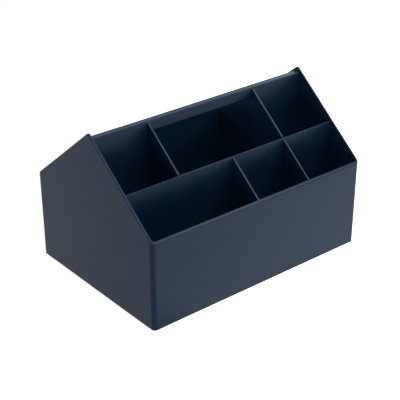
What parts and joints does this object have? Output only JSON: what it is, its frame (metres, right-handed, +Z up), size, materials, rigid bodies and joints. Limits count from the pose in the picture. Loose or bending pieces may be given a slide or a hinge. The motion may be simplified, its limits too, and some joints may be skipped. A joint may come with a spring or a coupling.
{
  "type": "desk tool box",
  "caption": "Gabled desk tool box with open compartments on both roof slopes and a carry handle bar along its ridge.",
  "frame": {"origin": "on the table under the middle of the casing", "axes": "+X along the ridge and the handle bar, front slope facing -Y, +Z up"},
  "size_m": [0.3312, 0.2342, 0.2093],
  "materials": {
    "moulded_plastic": "fine matt spark-eroded texture, dark slate blue-grey",
    "foot_rubber": "matt black rubber"
  },
  "bodies": {
    "root": {"casing": "moulded_plastic", "ridge_wall_left": "moulded_plastic", "ridge_wall_right": "moulded_plastic", "carry_handle": "moulded_plastic", "front_mid_wall": "moulded_plastic", "rear_mid_wall": "moulded_plastic", "front_upper_left_divider": "moulded_plastic", "front_upper_right_divider": "moulded_plastic", "front_lower_centre_divider": "moulded_plastic", "front_lower_right_divider": "moulded_plastic", "rear_upper_left_divider": "moulded_plastic", "rear_upper_right_divider": "moulded_plastic", "rear_lower_centre_divider": "moulded_plastic", "rear_lower_left_divider": "moulded_plastic", "foot_front_left": "foot_rubber", "foot_front_right": "foot_rubber", "foot_rear_left": "foot_rubber", "foot_rear_right": "foot_rubber"}
  },
  "joints": []
}
